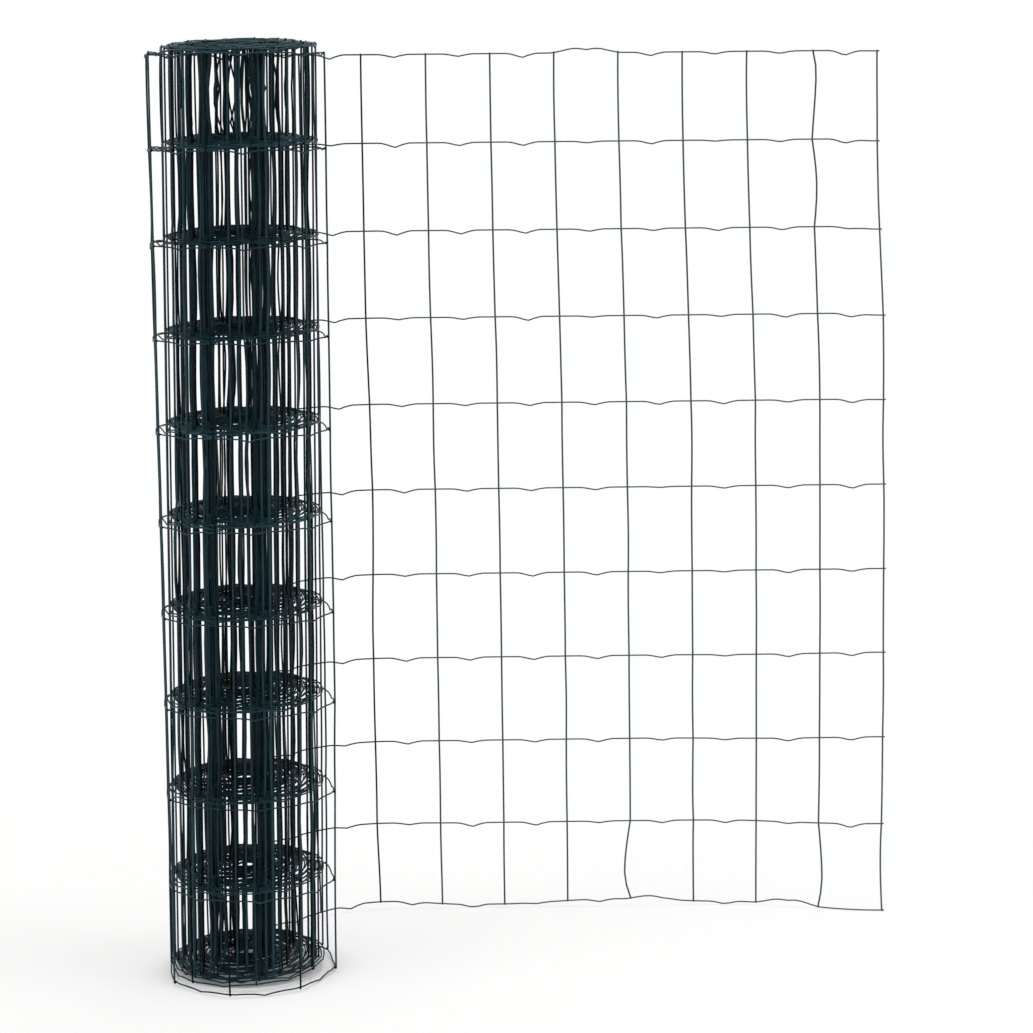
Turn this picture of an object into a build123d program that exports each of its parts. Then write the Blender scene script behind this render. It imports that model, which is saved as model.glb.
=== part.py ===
"""Roll of welded wire fencing, standing on its end with its loose end drawn out as a flat sheet.

Millimetres. The roll's axis is Z, the floor is Z = 0, and the flat sheet runs towards +X behind the axis.
"""

import os

from build123d import *

# Welded mesh: crimped line wires run along the fencing, straight stay wires stand across them
cell_width = 75.0
cell_height = 100.0
cell_rows = 10
line_wire_diameter = 1.7
stay_wire_diameter = 2.1
wire_sides = 6
weld_spacing = 1.45
crimp_depth = 3.5
crimp_width = 34.0
line_wire_overhang = 2.0

# Rolled turns: a packed core, in which about five turns make one band, then slack turns outside it
bore_radius = 10.0
packed_bands = 8
band_pitch = 9.125
slack_turns = 2
slack_pitch = 6.0
turn_groove_depth = 1.1

# The packed turns have slid up out of the slack ones, the innermost furthest
packed_rise = 9.0
core_rise = 15.0
risen_radius = 55.0

# Loose end: it leaves the roll at its back, bends once over its first cells and runs on flat
loose_cells = 11
bend_cells = 4
leave_angle = 135.0
bend_radius = 150.0
sheet_offset = 220.0
first_stay_distance = 26.4
seat_clearance = 0.2

# Worked out from the sizes above
line_radius = line_wire_diameter / 2
stay_radius = stay_wire_diameter / 2
packed_radius = bore_radius + packed_bands * band_pitch
roll_radius = packed_radius + slack_turns * slack_pitch
roll_wall_radius = roll_radius - line_radius
bottom_line_height = crimp_depth + line_radius
line_heights = [bottom_line_height + row * cell_height for row in range(cell_rows + 1)]
mesh_top = line_heights[-1] + line_radius
stay_foot = bottom_line_height - line_radius
level_half = (cell_width - crimp_width) / 2
sheet_start = first_stay_distance + bend_cells * cell_width - level_half / 2
loose_length = first_stay_distance + loose_cells * cell_width + line_wire_overhang


def rise_at(radius):
    """How far a packed turn of this radius stands above the slack turns."""
    share = (packed_radius - radius) / (packed_radius - risen_radius)
    return packed_rise + (core_rise - packed_rise) * min(share, 1)


def turns_outline():
    """Radius, rise and groove depth along an end of the roll, from the bore out to its wall."""
    outline = []
    for band in range(packed_bands):
        groove = bore_radius + band * band_pitch
        ridge = groove + band_pitch / 2
        outline.append((groove, rise_at(groove), turn_groove_depth))
        outline.append((ridge, rise_at(ridge), 0))
    outline.append((packed_radius, rise_at(packed_radius), turn_groove_depth))
    for turn in range(1, slack_turns):
        wire_axis = packed_radius + turn * slack_pitch - line_radius
        outline.append((wire_axis - line_radius, 0, turn_groove_depth))
        outline.append((wire_axis, 0, 0))
        outline.append((wire_axis + line_radius, 0, turn_groove_depth))
    outline.append((roll_radius - 2 * line_wire_diameter, 0, turn_groove_depth))
    outline.append((roll_radius - line_wire_diameter, 0, 0))
    outline.append((roll_wall_radius, 0, 0))
    return outline


def roll_profile():
    """The roll's half section, anticlockwise from the foot of its bore."""
    ends = turns_outline()
    foot = [(radius, rise + groove) for radius, rise, groove in ends]
    head = [(radius, mesh_top + rise - groove) for radius, rise, groove in reversed(ends)]
    wall = []
    for height in line_heights[1:-1]:
        wall.append((roll_wall_radius, height - line_radius))
        wall.append((roll_radius, height))
        wall.append((roll_wall_radius, height + line_radius))
    return foot + wall + head


# The roll: turned about its bore, with a ring round it at each line wire and its turns as ridges on its ends
with BuildPart() as mesh_roll:
    with BuildSketch(Plane.XZ):
        with BuildLine():
            Polyline(*roll_profile(), close=True)
        make_face()
    revolve(axis=Axis.Z)
mesh_roll.part.label = "mesh_roll"

# Plan of the loose end, at the axes of its line wires
leave_point = Vector(roll_radius + line_radius + seat_clearance, 0, 0).rotate(Axis.Z, leave_angle)
leave_heading = Vector(0, -1, 0).rotate(Axis.Z, leave_angle)
bend_corner = leave_point + leave_heading * ((sheet_offset - leave_point.Y) / leave_heading.Y)
with BuildLine() as plan:
    FilletPolyline(leave_point, bend_corner, bend_corner + Vector(loose_length, 0, 0), radius=bend_radius)
plan_route = plan.wire()


def on_plan(distance):
    """The point of the loose end's plan at this distance from where it leaves the roll."""
    return plan_route.position_at(distance, position_mode=PositionMode.LENGTH)


def stay_places(start, end):
    """Where the stay wires between two distances stand: on the outer side of the line wires' level runs."""
    places = []
    for stay in range(loose_cells + 1):
        distance = first_stay_distance + stay * cell_width
        if start < distance < end:
            before = on_plan(distance - level_half)
            after = on_plan(distance + level_half)
            outward = (after - before).normalized().rotate(Axis.Z, 90)
            places.append((before + after) / 2 + outward * weld_spacing)
    return places


def line_wire(start, end, height):
    """A line wire between two distances: level at each stay wire, with a V crimp in mid cell."""
    points = [on_plan(start) + Vector(0, 0, height)]
    for cell in range(loose_cells):
        middle = first_stay_distance + (cell + 0.5) * cell_width
        for along, drop in ((-crimp_width / 2, 0), (0, crimp_depth), (crimp_width / 2, 0)):
            if start < middle + along < end:
                points.append(on_plan(middle + along) + Vector(0, 0, height - drop))
    points.append(on_plan(end) + Vector(0, 0, height))
    with BuildPart() as wire:
        with BuildLine() as axis:
            Polyline(*points)
        with BuildSketch(Plane(axis.line @ 0, z_dir=axis.line % 0)):
            RegularPolygon(line_radius, wire_sides)
        sweep(transition=Transition.RIGHT)
    return wire.part


lead_wires = [line_wire(0, sheet_start, height) for height in line_heights]
sheet_wires = [line_wire(sheet_start, loose_length, height) for height in line_heights]

# The run that leaves the roll and bends
with BuildPart() as lead_off:
    add(lead_wires)
    with BuildSketch(Plane.XY.offset(stay_foot)):
        with Locations(*stay_places(0, sheet_start)):
            RegularPolygon(stay_radius, wire_sides)
    extrude(amount=mesh_top - stay_foot)
lead_off.part.label = "lead_off"

# The flat sheet, out to the free edge
with BuildPart() as loose_end:
    add(sheet_wires)
    with BuildSketch(Plane.XY.offset(stay_foot)):
        with Locations(*stay_places(sheet_start, loose_length)):
            RegularPolygon(stay_radius, wire_sides)
    extrude(amount=mesh_top - stay_foot)
loose_end.part.label = "loose_end"

os.makedirs("parts", exist_ok=True)
export_step(mesh_roll.part, "parts/mesh_roll.step")
export_step(lead_off.part, "parts/lead_off.step")
export_step(loose_end.part, "parts/loose_end.step")
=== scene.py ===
"""Dresses a standing roll of green coated wire fencing whose loose end is drawn out as a flat sheet.

Every wire of the welded mesh is modelled: crimped line wires that run from the free edge round into the
core of the roll, stay wires welded across them, and the coating that has pooled at each weld.
"""

import logging
import math
import random
from dataclasses import dataclass, field
from enum import Enum

import bmesh
import bpy
import numpy as np
from mathutils import Matrix, Vector


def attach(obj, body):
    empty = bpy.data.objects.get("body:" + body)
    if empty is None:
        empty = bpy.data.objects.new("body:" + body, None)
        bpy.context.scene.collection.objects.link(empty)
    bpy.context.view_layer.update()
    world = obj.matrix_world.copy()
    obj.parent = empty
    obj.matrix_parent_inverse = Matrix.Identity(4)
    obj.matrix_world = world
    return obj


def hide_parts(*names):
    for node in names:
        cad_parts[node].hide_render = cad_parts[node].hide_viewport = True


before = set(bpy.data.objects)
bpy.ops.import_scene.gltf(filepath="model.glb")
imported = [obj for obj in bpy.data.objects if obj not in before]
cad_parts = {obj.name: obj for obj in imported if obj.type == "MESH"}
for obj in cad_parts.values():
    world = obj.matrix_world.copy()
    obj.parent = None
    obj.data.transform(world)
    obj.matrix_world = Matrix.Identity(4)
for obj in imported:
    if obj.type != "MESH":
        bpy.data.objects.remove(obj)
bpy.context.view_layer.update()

LOG = logging.getLogger("wire_fencing")
MM = 0.001
PHOTO_SIDE_PX = 1033
TONE = "wire_tone"


def linear_colour(hex_value: str) -> tuple[float, float, float, float]:
    """Turns an sRGB hex colour into the linear values that shaders take.

    Args:
        hex_value: Six hex digits after a hash sign.

    Returns:
        Red, green, blue and an alpha of one.
    """
    parts = [int(hex_value[start:start + 2], 16) / 255 for start in (1, 3, 5)]
    linear = [part / 12.92 if part <= 0.04045 else ((part + 0.055) / 1.055) ** 2.4 for part in parts]
    return linear[0], linear[1], linear[2], 1.0


def add_node(
    tree: bpy.types.NodeTree, kind: str, links: dict[str | int, object] | None = None, **settings: object
) -> bpy.types.Node:
    """Adds a node with its settings, socket values and links.

    Args:
        tree: The node tree that gets the node.
        kind: Blender's name for the node's type.
        links: Input name or index to a value, or to the output socket that feeds it.
        **settings: Properties of the node itself.

    Returns:
        The new node.
    """
    node = tree.nodes.new(kind)
    for name, value in settings.items():
        setattr(node, name, value)
    for name, value in (links or {}).items():
        if isinstance(value, bpy.types.NodeSocket):
            tree.links.new(value, node.inputs[name])
        else:
            node.inputs[name].default_value = value
    return node


def smooth_step(values: np.ndarray, low: float, high: float) -> np.ndarray:
    """Rises smoothly from 0 at low to 1 at high.

    Args:
        values: Where to read the step.
        low: Where it starts to rise.
        high: Where it is full.

    Returns:
        The step at each value.
    """
    share = np.clip((values - low) / (high - low), 0.0, 1.0)
    return share * share * (3.0 - 2.0 * share)


def bell(distances: np.ndarray, reach: float) -> np.ndarray:
    """A smooth hump of height one that ends at its reach.

    Args:
        distances: Distances from the hump's middle.
        reach: Where the hump has run out.

    Returns:
        The hump at each distance.
    """
    return np.clip(1.0 - (distances / reach) ** 2, 0.0, None) ** 2


@dataclass(frozen=True)
class MeshSizes:
    """Sizes of the welded mesh, in millimetres.

    crimp_straightness is 1 where a crimp's legs are straight, and less where they curve in from the level
    run of the wire.
    """

    cell_width: float = 75.0
    cell_height: float = 100.0
    cell_rows: int = 10
    line_diameter: float = 1.7
    stay_diameter: float = 2.1
    weld_spacing: float = 1.45
    crimp_depth: float = 3.5
    crimp_width: float = 34.0
    crimp_straightness: float = 0.55
    line_overhang: float = 2.0

    @property
    def height(self) -> float:
        """Height from the lowest line wire to the highest."""
        return self.cell_rows * self.cell_height

    @property
    def bottom_line(self) -> float:
        """Height of the lowest line wire's axis, with its crimps on the floor."""
        return self.crimp_depth + self.line_diameter / 2


class WireRun(Enum):
    """The two runs of the fencing, each with the solids that it stands for."""

    ROLLED = ("rolled", ("mesh_roll",))
    LOOSE = ("loose", ("lead_off", "loose_end"))

    @property
    def label(self) -> str:
        """The run's name, as it starts its pieces' names."""
        return self.value[0]

    @property
    def solids(self) -> tuple[str, ...]:
        """The solids that the run's pieces replace."""
        return self.value[1]


@dataclass(frozen=True)
class SheetBend:
    """A place where handling has pushed the loose sheet out of true, in millimetres.

    along is measured from the free edge and height from the lowest line wire. The push fades to nothing at
    its reach either way.
    """

    along: float
    height: float
    reach_along: float
    reach_up: float
    right: float = 0.0
    back: float = 0.0
    up: float = 0.0


@dataclass(frozen=True)
class StayKink:
    """A kink in one stay wire of the loose sheet, in one cell row, at a share of the row's height."""

    stay: int
    row: int
    share: float
    shift: float


@dataclass(frozen=True)
class SlackBulge:
    """A place where the slack outer turn stands out from its circle, or is pressed in.

    angle and reach are in degrees, seen from above. height is measured from the lowest line wire. push moves
    the wire outwards and slide moves it anticlockwise round the turn.
    """

    angle: float
    reach: float
    height: float
    reach_up: float
    push: float = 0.0
    slide: float = 0.0


@dataclass(frozen=True)
class ClearSlot:
    """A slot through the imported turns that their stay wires, nested together, leave clear.

    right is where it passes the roll's axis, and the slot runs straight through from front to back.
    """

    right: float
    width: float


@dataclass(frozen=True, order=True)
class NestedStay:
    """A packed stay wire in a bundle between two clear slots.

    across is its place on the scale that the slots are given on, gain is how fast that grows along the mesh,
    and stay is its number from the free edge.
    """

    across: float
    gain: float
    stay: int


# How handling has bent the loose sheet: two broad bends, then local ones
SHEET_BENDS = (
    SheetBend(0, 1000, 700, 430, right=-12.0),
    SheetBend(300, 0, 1500, 800, right=3.5),
    SheetBend(0, 0, 200, 270, right=-5.0, back=-26.0, up=-3.3),
    SheetBend(325, 0, 130, 90, up=4.5),
    SheetBend(602, 0, 110, 130, up=5.0),
    SheetBend(0, 800, 60, 280, up=-3.5),
    SheetBend(340, 1000, 44, 40, up=6.5),
    SheetBend(114, 0, 42, 40, up=7.0),
    SheetBend(276, 0, 36, 40, up=4.5),
    SheetBend(0, 0, 110, 90, back=-11.0),
    SheetBend(77, 1000, 50, 90, right=1.5),
    SheetBend(0, 720, 60, 120, right=1.3),
    SheetBend(0, 560, 60, 80, right=-1.5),
    SheetBend(660, 510, 190, 200, right=4.0),
    SheetBend(640, 0, 170, 110, right=3.0),
    SheetBend(150, 200, 130, 170, up=-1.5),
)

# Single stays of the sheet that something has caught on
STAY_KINKS = (
    StayKink(4, 0, 0.33, -7.0),
    StayKink(1, 9, 0.75, 4.0),
    StayKink(1, 8, 0.50, 4.2),
    StayKink(0, 0, 0.45, -1.4),
    StayKink(1, 0, 0.35, 4.5),
)

# The outer turn has sprung open at its foot and lies closer on the right
SLACK_BULGES = (
    SlackBulge(260, 85, 0, 140, push=15.0),
    SlackBulge(220, 75, 0, 160, slide=15.0),
    SlackBulge(0, 75, 0, 350, push=-5.0),
    SlackBulge(0, 75, 1000, 500, push=1.5),
    SlackBulge(175, 60, 1000, 800, push=2.0),
)

# From left to right, with a bundle of stays between each slot and the next
CLEAR_SLOTS = (
    ClearSlot(-90.0, 11.0),
    ClearSlot(-78.0, 6.0),
    ClearSlot(-70.0, 3.0),
    ClearSlot(-63.5, 3.6),
    ClearSlot(-58.5, 3.0),
    ClearSlot(-47.0, 2.2),
    ClearSlot(-25.0, 5.4),
    ClearSlot(-19.5, 3.6),
    ClearSlot(-7.5, 3.8),
    ClearSlot(2.0, 4.8),
    ClearSlot(9.0, 2.0),
    ClearSlot(32.0, 2.4),
    ClearSlot(40.0, 3.0),
    ClearSlot(46.5, 2.5),
    ClearSlot(55.0, 3.8),
    ClearSlot(64.5, 5.0),
    ClearSlot(77.0, 5.2),
    ClearSlot(88.0, 8.0),
)


@dataclass
class FencingRoute:
    """The line of the fencing from its free edge round into the core of the roll, in millimetres.

    Distances run from the free edge inwards. The loose end is a flat sheet, a bend and a straight run to the
    roll, and the rest winds anticlockwise, seen from above, with slack turns outside a packed core.
    """

    mesh: MeshSizes

    # Plan of the loose end, which handling hasn't bent over its last run to the roll
    sheet_offset: float = 220.0
    bend_radius: float = 150.0
    leave_angle: float = math.radians(135.0)
    leave_radius: float = 96.05
    loose_length: float = 853.4
    unbent_run: float = 160.0

    # Radius after so many turns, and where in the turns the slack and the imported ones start
    turn_marks: tuple[float, ...] = (0.0, 0.12, 0.75, 1.3, 2.0, 13.0, 43.0)
    turn_radii: tuple[float, ...] = (96.05, 93.5, 93.0, 85.0, 82.0, 60.0, 11.0)
    slack_mark: float = 0.1
    packing_mark: float = 0.7
    packed_mark: float = 2.0

    # Slack turns flatten between stays, and packed turns bunch at the roll's sides
    slack_flat_share: float = 0.6
    bunch_pitch: float = 8.0
    bunching: float = 0.2
    bunch_fade: float = 0.5

    # The core has shifted to the left, except round the bore, where the turns also stand more upright
    core_radii: tuple[float, float] = (60.0, 82.0)
    core_shift: float = -5.0
    upright_radii: tuple[float, float] = (10.0, 22.0)
    upright_share: float = 0.5

    # Bundles of packed stays: the slots between them slope and fan out to the back, and some stays stray
    slot_slope: float = 0.082
    slot_fan: float = 0.00033
    most_slide: float = 9.0
    nesting: float = 0.85
    bundle_bow: float = 1.0
    top_draw: float = 0.4
    bundle_seed: int = 31
    stray_every: int = 5
    stray_first: int = 2

    # Packed turns have risen out of the slack ones, tilt and lean
    rise_radii: tuple[float, ...] = (50.0, 62.0, 82.0, 91.0)
    rises: tuple[float, ...] = (13.5, 11.5, 8.5, 0.0)
    tilt_right: float = 0.018
    tilt_radii: tuple[float, ...] = (18.0, 52.0)
    tilts_back: tuple[float, ...] = (-0.07, 0.058)
    packed_lean_foot: float = -7.7
    packed_lean_head: float = 5.0
    packed_back_foot: float = 7.0

    # Packed turns wander up and down in slow and quick waves, more so towards the rim
    slow_waves: tuple[float, float] = (300.0, 1100.0)
    slow_wander: float = 0.35
    quick_waves: tuple[float, float] = (90.0, 220.0)
    quick_wander: float = 0.25
    waves_each: int = 4
    rim_radii: tuple[float, float] = (50.0, 62.0)
    rim_wander: float = 2.0
    seed: int = 11

    floor_gap: float = 1.6
    step: float = 1.0
    angle_step: float = 0.01

    def __post_init__(self) -> None:
        """Lays out the plan of the whole length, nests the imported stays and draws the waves."""
        self._lay_loose()
        self._lay_roll()
        self._nest()
        draw = random.Random(self.seed)
        kinds = ((self.slow_waves, self.slow_wander), (self.quick_waves, self.quick_wander))
        self._waves = [
            (draw.uniform(*lengths), draw.uniform(0, math.tau), reach * math.sqrt(2 / self.waves_each))
            for lengths, reach in kinds
            for _ in range(self.waves_each)
        ]

    def _lay_loose(self) -> None:
        """Works out the plan of the loose end from the free edge to the roll."""
        leave = np.array((math.cos(self.leave_angle), math.sin(self.leave_angle))) * self.leave_radius
        heading = self.leave_angle - math.pi / 2
        corner_run = (self.sheet_offset - leave[1]) / math.sin(heading)
        straight = corner_run - self.bend_radius * math.tan(heading / 2)
        out = self.loose_length - np.arange(0.0, self.loose_length, self.step)
        turned = np.clip((out - straight) / self.bend_radius, 0.0, heading)
        on_straight = np.minimum(out, straight)
        beyond = np.maximum(out - straight - self.bend_radius * heading, 0.0)
        arc_right = self.bend_radius * (math.sin(heading) - np.sin(heading - turned))
        arc_back = self.bend_radius * (np.cos(heading - turned) - math.cos(heading))
        self._right = leave[0] + on_straight * math.cos(heading) + arc_right + beyond
        self._back = leave[1] + on_straight * math.sin(heading) + arc_back
        self._facing = heading - turned + math.pi / 2
        self._turns = np.zeros_like(out)
        self._radius = np.full_like(out, self.leave_radius)

    def _lay_roll(self) -> None:
        """Works out the plan of the rolled part and joins it to the loose end's."""
        angles = np.arange(0.0, self.turn_marks[-1] * math.tau, self.angle_step)
        radius = np.interp(angles / math.tau, self.turn_marks, self.turn_radii)
        lengths = np.concatenate(([0.0], np.cumsum((radius[1:] + radius[:-1]) / 2 * np.diff(angles))))
        along = np.arange(0.0, lengths[-1], self.step)
        angle = np.interp(along, lengths, angles)
        radius = np.interp(along, lengths, radius)
        facing = self.leave_angle + angle
        turns = angle / math.tau
        bunched = smooth_step(turns, self.packed_mark - self.bunch_fade, self.packed_mark + self.bunch_fade)
        bunch = np.sin(radius / self.bunch_pitch * math.tau) * np.cos(facing) ** 2 * bunched
        radius = radius + bunch * self.bunching * self.bunch_pitch / math.tau
        shift = self.core_shift * (1.0 - smooth_step(radius, *self.core_radii))
        shift = shift * smooth_step(radius, *self.upright_radii)
        self._right = np.concatenate((self._right, radius * np.cos(facing) + shift))
        self._back = np.concatenate((self._back, radius * np.sin(facing)))
        self._facing = np.concatenate((self._facing, facing))
        self._turns = np.concatenate((self._turns, turns))
        self._radius = np.concatenate((self._radius, radius))
        self._along = np.arange(len(self._right)) * self.step

    def _bundles(self) -> list[list[NestedStay]]:
        """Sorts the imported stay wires, apart from the strays, into the bundles between the clear slots.

        Returns:
            Each bundle's stays, from left to right.
        """
        bundles: list[list[NestedStay]] = [[] for _ in CLEAR_SLOTS[1:]]
        for stay in range(self.cells + 1):
            even = self._even_distance(stay)
            if not self.is_packed(even) or stay % self.stray_every == self.stray_first:
                continue
            facing = float(self.read(self._facing, even))
            right = float(self.read(self._right, even)) + self.mesh.weld_spacing * math.cos(facing)
            back = float(self.read(self._back, even)) + self.mesh.weld_spacing * math.sin(facing)
            across = (right + self.slot_slope * back) / (1.0 + self.slot_fan * back)
            gain = self.slot_slope * math.cos(facing) - math.sin(facing)
            for bundle, slot, beyond in zip(bundles, CLEAR_SLOTS, CLEAR_SLOTS[1:]):
                if slot.right <= across < beyond.right:
                    bundle.append(NestedStay(across, gain, stay))
        return [sorted(bundle) for bundle in bundles]

    def _nest(self) -> None:
        """Works out how far each packed stay wire slides into its bundle, and how it bows with it by row.

        The bundles draw together in the top row, where the stays are free to close up.
        """
        self._slides: dict[int, float] = {}
        self._bows: dict[int, list[float]] = {}
        draw = random.Random(self.bundle_seed)
        for bundle, slot, beyond in zip(self._bundles(), CLEAR_SLOTS, CLEAR_SLOTS[1:]):
            bows = [draw.gauss(0.0, self.bundle_bow) for _ in range(self.mesh.cell_rows)]
            start = slot.right + (slot.width + self.mesh.stay_diameter) / 2
            room = beyond.right - (beyond.width + self.mesh.stay_diameter) / 2 - start
            for rank, nested in enumerate(bundle):
                own_share = (nested.across - slot.right) / (beyond.right - slot.right)
                even_share = (rank + 0.5) / len(bundle)
                share = own_share + self.nesting * (even_share - own_share)
                self._slides[nested.stay] = self._held((start + share * room - nested.across) / nested.gain)
                top_bow = bows[-1] + self.top_draw * (0.5 - share) * room
                self._bows[nested.stay] = [self._held(bow / nested.gain) for bow in (*bows[:-1], top_bow)]

    def _held(self, slide: float) -> float:
        """Keeps a slide within what a stay wire can move along its line wires."""
        return max(-self.most_slide, min(self.most_slide, slide))

    def _even_distance(self, stay: int) -> float:
        """Distance of a stay wire from the free edge where nothing has moved it."""
        return self.mesh.line_overhang + stay * self.mesh.cell_width

    @property
    def length(self) -> float:
        """Length of the whole piece of fencing."""
        return float(self._along[-1])

    @property
    def cells(self) -> int:
        """Number of whole cells along the fencing."""
        return int((self.length - self.mesh.line_overhang) // self.mesh.cell_width)

    def stay_distance(self, stay: int) -> float:
        """Distance of a stay wire from the free edge, with packed ones nested clear of the slots."""
        return self._even_distance(stay) + self._slides.get(stay, 0.0)

    def nested_bow(self, stay: int, row: int) -> float:
        """How far a stay wire bows along the mesh in a row with its bundle, or zero where it is in none."""
        return self._bows[stay][row] if stay in self._bows else 0.0

    def read(self, values: np.ndarray, along: np.ndarray | float) -> np.ndarray:
        """Reads one of the plan's tables at these distances."""
        return np.interp(along, self._along, values)

    def is_packed(self, along: float) -> bool:
        """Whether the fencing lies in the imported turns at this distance."""
        return float(self.read(self._turns, along)) > self.packed_mark

    def run_at(self, along: float) -> WireRun:
        """The run that a stay wire at this distance stands in."""
        return WireRun.LOOSE if along < self.loose_length else WireRun.ROLLED

    def crimp(self, along: np.ndarray) -> np.ndarray:
        """Depth of the line wires' V crimps at these distances, one in the middle of each cell.

        Args:
            along: Distances from the free edge.

        Returns:
            How far the wire dips below its welds.
        """
        cell = (along - self.mesh.line_overhang) / self.mesh.cell_width
        from_middle = np.abs(cell - np.floor(cell) - 0.5) * self.mesh.cell_width
        share = np.clip(1.0 - from_middle / (self.mesh.crimp_width / 2), 0.0, 1.0)
        straight = self.mesh.crimp_straightness
        return self.mesh.crimp_depth * share * (straight + (1.0 - straight) * share)

    def place(self, along: np.ndarray, height: np.ndarray, outward: float) -> np.ndarray:
        """Puts points of the flat mesh where the rolled and drawn-out mesh has them.

        Args:
            along: Distances from the free edge.
            height: Heights above the lowest line wire.
            outward: Distance from the line wires' axes towards the outside of the roll.

        Returns:
            One row of right, back and up for each point.
        """
        facing = self.read(self._facing, along)
        turns = self.read(self._turns, along)
        radius = self.read(self._radius, along)
        packed = smooth_step(turns, self.packing_mark, self.packed_mark)
        slack = (1.0 - packed) * smooth_step(turns, 0.0, self.slack_mark)
        out = outward + self._corners(along, radius) * self.slack_flat_share * slack
        onward = np.zeros_like(out)
        for bulge in SLACK_BULGES:
            off = (np.degrees(facing) - bulge.angle + 180.0) % 360.0 - 180.0
            share = bell(off, bulge.reach) * bell(height - bulge.height, bulge.reach_up) * slack
            out = out + bulge.push * share
            onward = onward + bulge.slide * share
        upright = self.upright_share * (1.0 - smooth_step(radius, *self.upright_radii))
        leaning = packed * (1.0 - upright)
        lean = np.interp(height, (0.0, self.mesh.height), (self.packed_lean_foot, self.packed_lean_head))
        lean_back = self.packed_back_foot * (1.0 - height / self.mesh.height)
        right = self.read(self._right, along) + lean * leaning
        right = right + out * np.cos(facing) - onward * np.sin(facing)
        back = self.read(self._back, along) + lean_back * leaning
        back = back + out * np.sin(facing) + onward * np.cos(facing)
        up = self.mesh.bottom_line + height + self._lift(along, radius, packed)
        points = np.stack((right, back, up), axis=1) + self._handled(along, height)
        points[:, 2] = np.maximum(points[:, 2], self.floor_gap)
        return points

    def _corners(self, along: np.ndarray, radius: np.ndarray) -> np.ndarray:
        """How far a turn that bends only at its stay wires stands out from its circle.

        Args:
            along: Distances from the free edge.
            radius: The circle's radius there.

        Returns:
            The distance outwards, less than zero in mid cell and zero on average.
        """
        cell = (along - self.mesh.line_overhang) / self.mesh.cell_width
        near_stay = 1.0 - 2.0 * np.abs(cell - np.round(cell))
        return radius * (1.0 - np.cos(self.mesh.cell_width / 2 / radius)) * (near_stay ** 2 - 1.0 / 3.0)

    def _lift(self, along: np.ndarray, radius: np.ndarray, packed: np.ndarray) -> np.ndarray:
        """How far the rolled turns stand above the level mesh, with their rise, tilt and waves.

        Args:
            along: Distances from the free edge.
            radius: The turn's radius there.
            packed: 0 in the slack turns to 1 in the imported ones.

        Returns:
            The distance upwards.
        """
        rise = np.interp(radius, self.rise_radii, self.rises) * (along > self.loose_length)
        drift = sum(reach * np.sin(along / wave * math.tau + phase) for wave, phase, reach in self._waves)
        rim = 1.0 + (self.rim_wander - 1.0) * smooth_step(radius, *self.rim_radii)
        tilt_back = np.interp(radius, self.tilt_radii, self.tilts_back)
        tilt = self.tilt_right * self.read(self._right, along) + tilt_back * self.read(self._back, along)
        return rise + (drift * rim + tilt) * packed

    def _handled(self, along: np.ndarray, height: np.ndarray) -> np.ndarray:
        """How far handling has moved points of the loose sheet.

        Args:
            along: Distances from the free edge.
            height: Heights above the lowest line wire.

        Returns:
            One row of right, back and up for each point.
        """
        free = 1.0 - smooth_step(along, self.loose_length - self.unbent_run, self.loose_length)
        moved = np.zeros((len(along), 3))
        for bend in SHEET_BENDS:
            push = bell(along - bend.along, bend.reach_along) * bell(height - bend.height, bend.reach_up)
            moved += (push * free)[:, None] * np.array((bend.right, bend.back, bend.up))
        return moved


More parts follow.
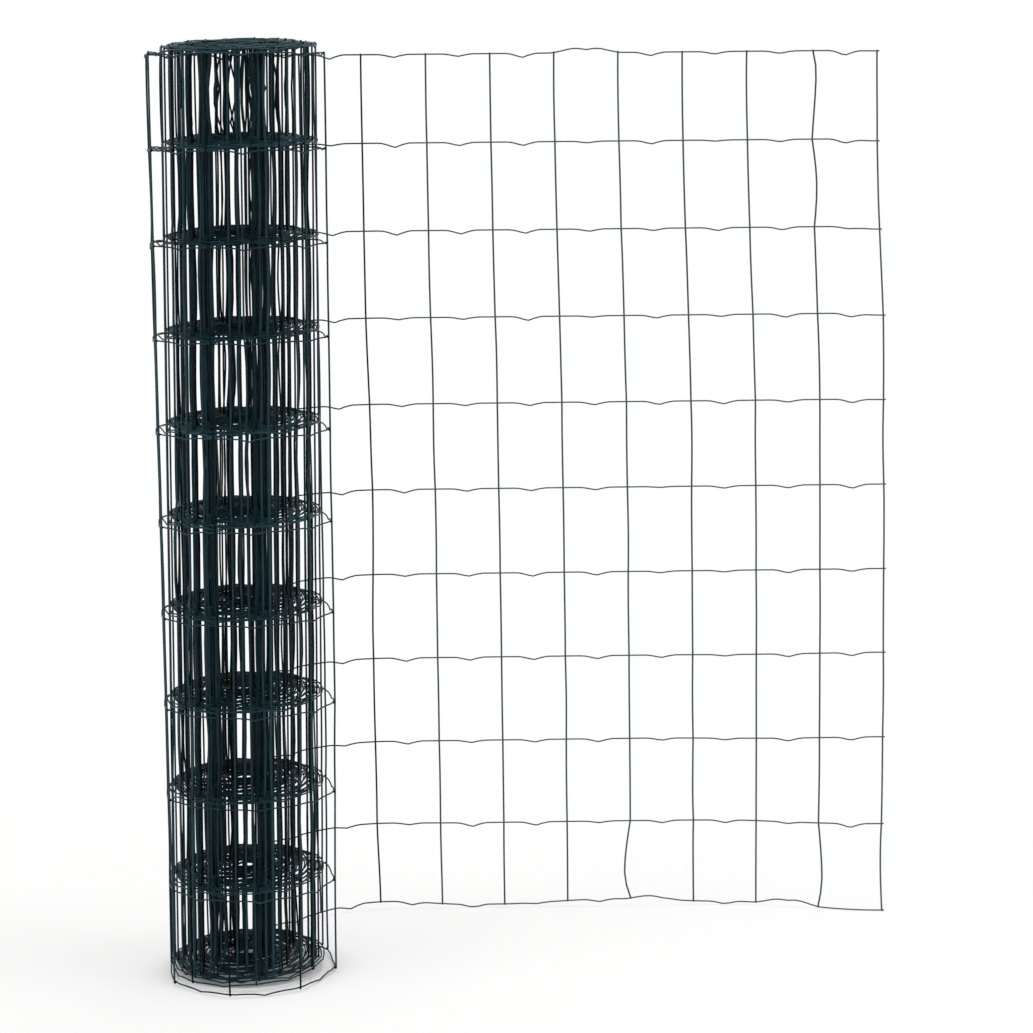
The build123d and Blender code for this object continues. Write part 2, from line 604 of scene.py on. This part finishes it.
@dataclass(frozen=True)
class WireStock:
    """Round coated wire, drawn straight and then bent to its line.

    end_rings are the rings that round off an end: how far each goes on, as a share of the wire's radius, and
    its size as a share of the ring before it.
    """

    diameter: float
    sides: int = 7
    end_rings: tuple[tuple[float, float], ...] = ((0.55, 0.8), (0.4, 0.35))

    def straight(self, length: float, steps: int) -> bmesh.types.BMesh:
        """Makes a straight wire that stands on the origin, with rounded ends.

        Args:
            length: Length between the ends' roundings.
            steps: Number of steps that the length is cut into.

        Returns:
            A new bmesh, along Z.
        """
        wire = bmesh.new()
        radius = self.diameter / 2
        bmesh.ops.create_circle(wire, segments=self.sides, radius=radius)
        foot = list(wire.edges)
        head = self._draw_on(wire, foot, length, 1.0)
        rings = set(foot) | set(head)
        walls = [edge for edge in wire.edges if edge not in rings]
        for ring, way in ((foot, -1.0), (head, 1.0)):
            for advance, scale in self.end_rings:
                ring = self._draw_on(wire, ring, way * radius * advance, scale)
            bmesh.ops.contextual_create(wire, geom=ring)
        bmesh.ops.subdivide_edges(wire, edges=walls, cuts=steps - 1, use_grid_fill=True)
        bmesh.ops.recalc_face_normals(wire, faces=wire.faces)
        return wire

    def _draw_on(
        self, wire: bmesh.types.BMesh, ring: list[bmesh.types.BMEdge], advance: float, scale: float
    ) -> list[bmesh.types.BMEdge]:
        """Extrudes a ring of edges along the wire.

        Args:
            wire: The wire being made.
            ring: The ring to extrude.
            advance: How far the new ring moves along the wire.
            scale: The new ring's size, as a share of the old one's.

        Returns:
            The new ring's edges.
        """
        drawn = bmesh.ops.extrude_edge_only(wire, edges=ring)["geom"]
        verts = [item for item in drawn if isinstance(item, bmesh.types.BMVert)]
        bmesh.ops.scale(wire, vec=(scale, scale, 1.0), verts=verts)
        bmesh.ops.translate(wire, vec=(0.0, 0.0, advance), verts=verts)
        moved = set(verts)
        return [
            item for item in drawn
            if isinstance(item, bmesh.types.BMEdge) and all(vert in moved for vert in item.verts)
        ]

    def bend(self, wire: bmesh.types.BMesh, line: np.ndarray, length: float, up: Vector) -> None:
        """Bends a straight wire to a line and scales it to metres.

        Args:
            wire: The straight wire, along Z.
            line: Points of the line, evenly spaced along the wire's length.
            length: The straight wire's length.
            up: The way that the wire's own X points, as far as the line lets it.
        """
        tangent = np.gradient(line, axis=0)
        tangent /= np.linalg.norm(tangent, axis=1)[:, None]
        side = np.cross(np.array(up), tangent)
        side /= np.linalg.norm(side, axis=1)[:, None]
        top = np.cross(tangent, side)
        flat = np.array([vert.co for vert in wire.verts])
        share = np.clip(flat[:, 2] / length, 0.0, 1.0)
        past = flat[:, 2] - share * length
        station = np.rint(share * (len(line) - 1)).astype(int)
        bent = line[station] + top[station] * flat[:, :1] + side[station] * flat[:, 1:2]
        bent = (bent + tangent[station] * past[:, None]) * MM
        for vert, place in zip(wire.verts, bent):
            vert.co = place


@dataclass(frozen=True)
class CoatedWireFinish:
    """Soft PVC extruded over galvanised steel wire: dark green, satin, with a little drag and chalk.

    The eye gets long soft highlights along each wire, near black where turns shade each other, and small
    paler scuffs where the roll has been handled. The drawn-out sheet has painted light: its colour is made
    paler for the fuller light that falls on it.
    """

    name: str = "pvc_coated_wire"
    deep: str = "#020a10"
    fresh: str = "#35525a"
    tone_range: tuple[float, float] = (0.65, 1.55)
    batch_mm: float = 90.0
    mottle_mm: float = 9.0

    # Scuffs show where their noise passes the first value, and are full at the second
    chalk: str = "#4a6165"
    scuff_mm: float = 26.0
    scuff_range: tuple[float, float] = (0.62, 0.78)
    scuff_share: float = 0.45

    # Painted light: the drawn-out sheet is made paler from left to right between these places, for the light
    # on it
    aired: str = "#6a7678"
    aired_share: float = 0.5
    aired_from_mm: float = 110.0
    aired_to_mm: float = 210.0

    # PVC has an index of about 1.53, and a satin coat has little gloss
    ior: float = 1.53
    gloss: float = 0.09
    gloss_tint: str = "#b0f2ff"
    roughness: float = 0.38
    roughness_spread: tuple[float, float] = (-0.08, 0.14)

    # The real drag of the die is some tenths of a millimetre, drawn coarser here so that it shows
    grain_mm: float = 1.6
    grain_strength: float = 0.25
    grain_depth_mm: float = 0.1

    def material(self) -> bpy.types.Material:
        """Builds the finish's material.

        Returns:
            The new material.
        """
        made = bpy.data.materials.new(self.name)
        made.use_nodes = True
        tree = made.node_tree
        tree.nodes.clear()
        place = add_node(tree, "ShaderNodeTexCoord").outputs["Object"]
        mottle = add_node(tree, "ShaderNodeTexNoise", {
            "Vector": place, "Scale": 1.0 / (self.mottle_mm * MM), "Detail": 3.0, "Roughness": 0.55})
        satin = add_node(tree, "ShaderNodeMapRange", {
            "Value": mottle.outputs["Fac"], "To Min": self.roughness + self.roughness_spread[0],
            "To Max": self.roughness + self.roughness_spread[1]})
        grain = add_node(tree, "ShaderNodeTexNoise", {
            "Vector": place, "Scale": 1.0 / (self.grain_mm * MM), "Detail": 2.0})
        relief = add_node(tree, "ShaderNodeBump", {
            "Height": grain.outputs["Fac"], "Strength": self.grain_strength,
            "Distance": self.grain_depth_mm * MM})
        shader = add_node(tree, "ShaderNodeBsdfPrincipled", {
            "Base Color": self._colour(tree, place, mottle.outputs["Fac"]),
            "Roughness": satin.outputs["Result"], "Normal": relief.outputs["Normal"], "IOR": self.ior,
            "Specular IOR Level": self.gloss, "Specular Tint": linear_colour(self.gloss_tint)})
        add_node(tree, "ShaderNodeOutputMaterial", {"Surface": shader.outputs["BSDF"]})
        return made

    def _colour(
        self, tree: bpy.types.NodeTree, place: bpy.types.NodeSocket, mottle: bpy.types.NodeSocket
    ) -> bpy.types.NodeSocket:
        """Adds the nodes of the coating's colour: each wire's own green, mottled and scuffed, with painted
        light on the drawn-out sheet.

        Args:
            tree: The material's node tree.
            place: The object coordinates.
            mottle: The coating's mottle, from 0 to 1.

        Returns:
            The colour.
        """
        batch = add_node(tree, "ShaderNodeTexNoise", {
            "Vector": place, "Scale": 1.0 / (self.batch_mm * MM), "Detail": 2.0, "Roughness": 0.5})
        own = add_node(tree, "ShaderNodeAttribute", attribute_name=TONE)
        cloud = add_node(tree, "ShaderNodeMath", {0: batch.outputs["Fac"], 1: mottle}, operation="ADD")
        tone = add_node(tree, "ShaderNodeMath", {
            0: cloud.outputs[0], 1: 0.5, 2: own.outputs["Fac"]}, operation="MULTIPLY_ADD")
        tone = add_node(tree, "ShaderNodeMapRange", {
            "Value": tone.outputs[0], "From Min": self.tone_range[0], "From Max": self.tone_range[1]})
        green = add_node(tree, "ShaderNodeMix", {
            "Factor": tone.outputs["Result"], "A": linear_colour(self.deep), "B": linear_colour(self.fresh),
        }, data_type="RGBA")
        scuff = add_node(tree, "ShaderNodeTexNoise", {
            "Vector": place, "Scale": 1.0 / (self.scuff_mm * MM), "Detail": 5.0, "Roughness": 0.7})
        worn = add_node(tree, "ShaderNodeValToRGB", {"Fac": scuff.outputs["Fac"]})
        stops = worn.color_ramp.elements
        for stop, position, share in zip(stops, self.scuff_range, (0.0, self.scuff_share)):
            stop.position = position
            stop.color = (share, share, share, 1.0)
        scuffed = add_node(tree, "ShaderNodeMix", {
            "Factor": worn.outputs["Color"], "A": green.outputs["Result"], "B": linear_colour(self.chalk),
        }, data_type="RGBA")
        # Painted light: the drawn-out sheet is mixed towards a paler colour for the fuller light that falls
        # on it
        across = add_node(tree, "ShaderNodeSeparateXYZ", {"Vector": place})
        painted_light_mask = add_node(tree, "ShaderNodeMapRange", {
            "Value": across.outputs["X"], "From Min": self.aired_from_mm * MM,
            "From Max": self.aired_to_mm * MM, "To Max": self.aired_share}, interpolation_type="SMOOTHSTEP")
        painted_light_mixed = add_node(tree, "ShaderNodeMix", {
            "Factor": painted_light_mask.outputs["Result"], "A": scuffed.outputs["Result"], "B": linear_colour(self.aired),
        }, data_type="RGBA")
        return painted_light_mixed.outputs["Result"]


@dataclass
class WirePiece:
    """Wires gathered into one mesh, which becomes one piece of the object."""

    name: str
    run: WireRun
    material: bpy.types.Material
    gathered: bmesh.types.BMesh = field(default_factory=bmesh.new)

    def take(self, wire: bmesh.types.BMesh, tone: float) -> None:
        """Adds a finished wire to the piece and frees it.

        Args:
            wire: The wire, in metres and in place.
            tone: The wire's own shade, from 0, the deepest, to 1.
        """
        shade = wire.verts.layers.float.new(TONE)
        for vert in wire.verts:
            vert[shade] = tone
        mesh = bpy.data.meshes.new("wire")
        wire.to_mesh(mesh)
        wire.free()
        self.gathered.from_mesh(mesh)
        bpy.data.meshes.remove(mesh)

    def finish(self) -> None:
        """Makes the piece's object, dresses it and hands it to the frame."""
        mesh = bpy.data.meshes.new(self.name)
        self.gathered.to_mesh(mesh)
        self.gathered.free()
        mesh.shade_smooth()
        mesh.materials.append(self.material)
        piece = bpy.data.objects.new(self.name, mesh)
        bpy.context.scene.collection.objects.link(piece)
        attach(piece, "root")
        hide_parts(*self.run.solids)
        LOG.info("%s: %d faces", self.name, len(mesh.polygons))


@dataclass
class LineWires:
    """The crimped wires that run the length of the fencing.

    The steps are for each cell, crimp_spread is how much crimps differ in depth, and each wire's shade is
    least_shade and up to shade_spread more.
    """

    mesh: MeshSizes
    route: FencingRoute
    stock: WireStock
    material: bpy.types.Material
    rolled_steps: int = 7
    loose_steps: int = 14
    crimp_spread: float = 0.25
    least_shade: float = 0.4
    shade_spread: float = 0.3
    seed: int = 5

    def build(self) -> None:
        """Builds the rolled and the loose line wires."""
        draw = random.Random(self.seed)
        end = self.route.stay_distance(self.route.cells) + self.mesh.line_overhang
        for run, start, stop, steps in (
            (WireRun.LOOSE, 0.0, self.route.loose_length, self.loose_steps),
            (WireRun.ROLLED, self.route.loose_length, end, self.rolled_steps),
        ):
            piece = WirePiece(f"{run.label}_line_wires", run, self.material)
            for row in range(self.mesh.cell_rows + 1):
                depths = [draw.gauss(1.0, self.crimp_spread) for _ in range(self.route.cells + 1)]
                shade = self.least_shade + self.shade_spread * draw.random()
                piece.take(self._wire(row, start, stop, steps, np.array(depths)), shade)
            piece.finish()

    def _wire(
        self, row: int, start: float, stop: float, cell_steps: int, depths: np.ndarray
    ) -> bmesh.types.BMesh:
        """Makes one line wire between two distances.

        Args:
            row: The wire's row, counted from the lowest.
            start: Distance from the free edge where it starts.
            stop: Distance where it ends.
            cell_steps: Number of steps in a cell.
            depths: Each cell's crimp depth, as a share of the usual one.

        Returns:
            The wire, in place.
        """
        steps = round((stop - start) / self.mesh.cell_width * cell_steps)
        along = np.linspace(start, stop, steps + 1)
        cell = ((along - self.mesh.line_overhang) // self.mesh.cell_width).astype(int)
        dips = self.route.crimp(along) * depths[np.clip(cell, 0, len(depths) - 1)]
        line = self.route.place(along, row * self.mesh.cell_height - dips, 0.0)
        wire = self.stock.straight(stop - start, steps)
        self.stock.bend(wire, line, stop - start, Vector((0, 0, 1)))
        return wire


@dataclass
class StayWires:
    """The straight wires that stand across the fencing, each a little bent by rolling and handling.

    The bows and the ripple are how far a bend usually goes along the mesh, in millimetres. A row's bow peaks
    between two shares of its height. Some packed stays are bent more in the top row, with a ripple.
    """

    mesh: MeshSizes
    route: FencingRoute
    stock: WireStock
    material: bpy.types.Material
    steps_a_row: int = 6
    loose_bow: float = 0.3
    rolled_bow: float = 0.7
    bow_peaks: tuple[float, float] = (0.3, 0.7)
    top_bow: float = 6.0
    top_bent_share: float = 0.11
    top_ripple: float = 3.0
    ripple_half_waves: int = 3
    seed: int = 23

    def build(self) -> None:
        """Builds the rolled and the loose stay wires."""
        draw = random.Random(self.seed)
        pieces = {run: WirePiece(f"{run.label}_stay_wires", run, self.material) for run in WireRun}
        for stay in range(self.route.cells + 1):
            along = self.route.stay_distance(stay)
            wire = self._wire(stay, along, draw)
            pieces[self.route.run_at(along)].take(wire, draw.random())
        for piece in pieces.values():
            piece.finish()

    def _wire(self, stay: int, along: float, draw: random.Random) -> bmesh.types.BMesh:
        """Makes one stay wire.

        Args:
            stay: The stay's number from the free edge.
            along: Its distance from the free edge.
            draw: Source of the bends.

        Returns:
            The wire, in place.
        """
        steps = self.mesh.cell_rows * self.steps_a_row
        height = np.linspace(0.0, self.mesh.height, steps + 1)
        shift = np.zeros_like(height)
        for row in range(self.mesh.cell_rows):
            peak, bow, ripple = self._row_bend(stay, row, along, draw)
            share = height / self.mesh.cell_height - row
            inside = (share >= 0.0) & (share <= 1.0)
            # A bow is a tent between the row's two welds with its ridge rounded off
            tent = np.minimum(share / peak, (1.0 - share) / (1.0 - peak))
            bent = bow * tent * (1.5 - 0.5 * tent * tent)
            bent = bent + ripple * np.sin(share * self.ripple_half_waves * math.pi)
            shift = np.where(inside, bent, shift)
        wire = self.stock.straight(self.mesh.height, steps)
        line = self.route.place(along + shift, height, self.mesh.weld_spacing)
        self.stock.bend(wire, line, self.mesh.height, Vector((1, 0, 0)))
        return wire

    def _row_bend(
        self, stay: int, row: int, along: float, draw: random.Random
    ) -> tuple[float, float, float]:
        """Chooses how a stay wire is bent between its two welds in a row.

        Args:
            stay: The stay's number from the free edge.
            row: The row of cells, counted from the lowest.
            along: The stay's distance from the free edge.
            draw: Source of the bends.

        Returns:
            The share of the row's height at which the bow peaks, the bow, and the ripple on it.
        """
        loose = self.route.run_at(along) is WireRun.LOOSE
        in_top = self.route.is_packed(along) and row == self.mesh.cell_rows - 1
        peak = draw.uniform(*self.bow_peaks)
        reach = self.loose_bow if loose else self.rolled_bow
        ripple = 0.0
        if in_top and draw.random() < self.top_bent_share:
            reach = self.top_bow
            ripple = draw.gauss(0.0, self.top_ripple)
        bow = draw.gauss(0.0, reach) + self.route.nested_bow(stay, row)
        for kink in STAY_KINKS:
            if loose and (kink.stay, kink.row) == (stay, row):
                peak, bow = kink.share, -kink.shift
        return peak, bow, ripple


@dataclass
class WeldBeads:
    """Coating pooled round each weld, where a stay wire crosses a line wire.

    width_share is a bead's width as a share of a stay wire's.
    """

    mesh: MeshSizes
    route: FencingRoute
    material: bpy.types.Material
    width_share: float = 1.45
    around: int = 8
    rings: int = 5
    shade: float = 0.5

    def build(self) -> None:
        """Builds the rolled and the loose beads."""
        pieces = {run: WirePiece(f"{run.label}_weld_beads", run, self.material) for run in WireRun}
        heights = np.arange(self.mesh.cell_rows + 1) * self.mesh.cell_height
        for stay in range(self.route.cells + 1):
            along = self.route.stay_distance(stay)
            spots = self.route.place(np.full_like(heights, along), heights, self.mesh.weld_spacing / 2)
            pieces[self.route.run_at(along)].take(self._beads(spots), self.shade)
        for piece in pieces.values():
            piece.finish()

    def _beads(self, spots: np.ndarray) -> bmesh.types.BMesh:
        """Makes the beads of one stay wire.

        Args:
            spots: Where its welds are, in millimetres.

        Returns:
            The beads, in place.
        """
        beads = bmesh.new()
        radius = self.mesh.stay_diameter * self.width_share / 2 * MM
        for spot in spots:
            bmesh.ops.create_uvsphere(
                beads, u_segments=self.around, v_segments=self.rings, radius=radius,
                matrix=Matrix.Translation(Vector(spot) * MM))
        return beads


@dataclass(frozen=True)
class SoftLamp:
    """A large square lamp, with its place and side in metres and its power in watts."""

    name: str
    place: tuple[float, float, float]
    power: float
    side: float

    def hang(self, aim: tuple[float, float, float]) -> None:
        """Hangs the lamp and turns it to a point.

        Args:
            aim: The point that it faces, in metres.
        """
        data = bpy.data.lights.new(self.name, "AREA")
        data.shape = "SQUARE"
        data.size = self.side
        data.energy = self.power
        lamp = bpy.data.objects.new(self.name, data)
        bpy.context.scene.collection.objects.link(lamp)
        lamp.location = self.place
        way = Vector(aim) - Vector(self.place)
        lamp.rotation_euler = way.to_track_quat("-Z", "Y").to_euler()


SOFT_LAMPS = (
    SoftLamp("soft_left", (-2.6, -1.2, 2.6), 38.0, 2.0),
    SoftLamp("soft_right", (2.8, -0.9, 2.6), 28.0, 2.0),
    SoftLamp("soft_top", (0.3, 0.1, 3.4), 104.0, 2.6),
)


@dataclass(frozen=True)
class Studio:
    """Plain white studio round the object, with the camera where the photograph was taken from.

    The camera's place is in millimetres and its angles are in degrees. The other sizes are in metres.
    """

    camera_place: tuple[float, float, float] = (250.9, -3066.9, 971.4)
    camera_pitch: float = -8.656
    camera_yaw: float = -0.831
    camera_roll: float = 0.531
    focal_px: float = 2850.0
    sensor_mm: float = 36.0

    # Matt paper: no highlight, white as seen, with its own glow less near the roll so that a shadow shows
    floor_side: float = 14.0
    floor_white: str = "#f9f9f8"
    glow_near: float = 0.6
    shadow_radii: tuple[float, float] = (0.1, 1.3)
    glow_under_roll: float = 0.2
    under_roll_radii: tuple[float, float] = (0.07, 0.13)

    lamp_aim: tuple[float, float, float] = (0.1, 0.0, 0.5)
    fill_light: float = 0.08
    white: tuple[float, float, float, float] = (1.0, 1.0, 1.0, 1.0)

    def build(self) -> None:
        """Builds the camera, the floor, the lights and the white surroundings."""
        self._camera()
        self._floor()
        for lamp in SOFT_LAMPS:
            lamp.hang(self.lamp_aim)
        self._world()
        bpy.context.scene.view_settings.view_transform = "Standard"

    def _camera(self) -> None:
        """Sets the camera to the photograph's view."""
        data = bpy.data.cameras.new("photo_camera")
        data.sensor_width = self.sensor_mm
        data.lens = self.focal_px / PHOTO_SIDE_PX * self.sensor_mm
        camera = bpy.data.objects.new("photo_camera", data)
        bpy.context.scene.collection.objects.link(camera)
        turn = (
            Matrix.Rotation(math.radians(self.camera_yaw), 4, "Z")
            @ Matrix.Rotation(math.radians(90.0 + self.camera_pitch), 4, "X")
            @ Matrix.Rotation(math.radians(-self.camera_roll), 4, "Z")
        )
        camera.matrix_world = Matrix.Translation(Vector(self.camera_place) * MM) @ turn
        bpy.context.scene.camera = camera

    def _floor(self) -> None:
        """Lays the pale floor."""
        sheet = bmesh.new()
        bmesh.ops.create_grid(sheet, x_segments=1, y_segments=1, size=self.floor_side / 2)
        mesh = bpy.data.meshes.new("studio_floor")
        sheet.to_mesh(mesh)
        sheet.free()
        mesh.materials.append(self._paper())
        floor = bpy.data.objects.new("studio_floor", mesh)
        bpy.context.scene.collection.objects.link(floor)

    def _paper(self) -> bpy.types.Material:
        """Builds the floor's material, which shows white and keeps a soft shadow.

        Returns:
            The new material.
        """
        made = bpy.data.materials.new("matt_white_paper")
        made.use_nodes = True
        tree = made.node_tree
        tree.nodes.clear()
        place = add_node(tree, "ShaderNodeTexCoord").outputs["Object"]
        away = add_node(tree, "ShaderNodeVectorMath", {0: place}, operation="LENGTH").outputs["Value"]
        share = self._white_rays(tree)
        for radii, least in (
            (self.under_roll_radii, self.glow_under_roll),
            (self.shadow_radii, self.glow_near),
        ):
            glowing = add_node(tree, "ShaderNodeMapRange", {
                "Value": away, "From Min": radii[0], "From Max": radii[1], "To Min": least, "To Max": 1.0,
            }, interpolation_type="SMOOTHSTEP")
            share = add_node(tree, "ShaderNodeMath", {
                0: share, 1: glowing.outputs["Result"]}, operation="MULTIPLY").outputs[0]
        paper = add_node(tree, "ShaderNodeBsdfDiffuse", {"Color": linear_colour(self.floor_white)})
        glow = add_node(tree, "ShaderNodeEmission", {"Color": self.white, "Strength": 1.0})
        mixed = add_node(tree, "ShaderNodeMixShader", {
            0: share, 1: paper.outputs["BSDF"], 2: glow.outputs["Emission"]})
        add_node(tree, "ShaderNodeOutputMaterial", {"Surface": mixed.outputs["Shader"]})
        return made

    def _white_rays(self, tree: bpy.types.NodeTree) -> bpy.types.NodeSocket:
        """Adds the switch for the rays that are to see white: the camera's, glossy and transmitted ones.

        Args:
            tree: The node tree that gets it.

        Returns:
            One for such a ray, and zero for any other.
        """
        path = add_node(tree, "ShaderNodeLightPath")
        seen = add_node(tree, "ShaderNodeMath", {
            0: path.outputs["Is Camera Ray"], 1: path.outputs["Is Glossy Ray"]}, operation="MAXIMUM")
        seen = add_node(tree, "ShaderNodeMath", {
            0: seen.outputs[0], 1: path.outputs["Is Transmission Ray"]}, operation="MAXIMUM")
        return seen.outputs[0]

    def _world(self) -> None:
        """Surrounds the object with even light that shows white behind it."""
        world = bpy.data.worlds.new("white_studio")
        bpy.context.scene.world = world
        world.use_nodes = True
        tree = world.node_tree
        tree.nodes.clear()
        strength = add_node(tree, "ShaderNodeMapRange", {
            "Value": self._white_rays(tree), "To Min": self.fill_light, "To Max": 1.0})
        glow = add_node(tree, "ShaderNodeBackground", {
            "Color": self.white, "Strength": strength.outputs["Result"]})
        add_node(tree, "ShaderNodeOutputWorld", {"Surface": glow.outputs["Background"]})


def main() -> None:
    """Builds the fencing and the studio, in order."""
    logging.basicConfig(level=logging.INFO, format="%(message)s")
    mesh = MeshSizes()
    route = FencingRoute(mesh)
    LOG.info("fencing: %.2f m long, %d cells", route.length * MM, route.cells)
    coating = CoatedWireFinish().material()
    pooled = CoatedWireFinish(
        name="pvc_pooled_at_welds", deep="#01090c", fresh="#06191b", roughness=0.34).material()
    LineWires(mesh, route, WireStock(mesh.line_diameter), coating).build()
    StayWires(mesh, route, WireStock(mesh.stay_diameter), coating).build()
    WeldBeads(mesh, route, pooled).build()
    Studio().build()


if __name__ == "__main__":
    main()
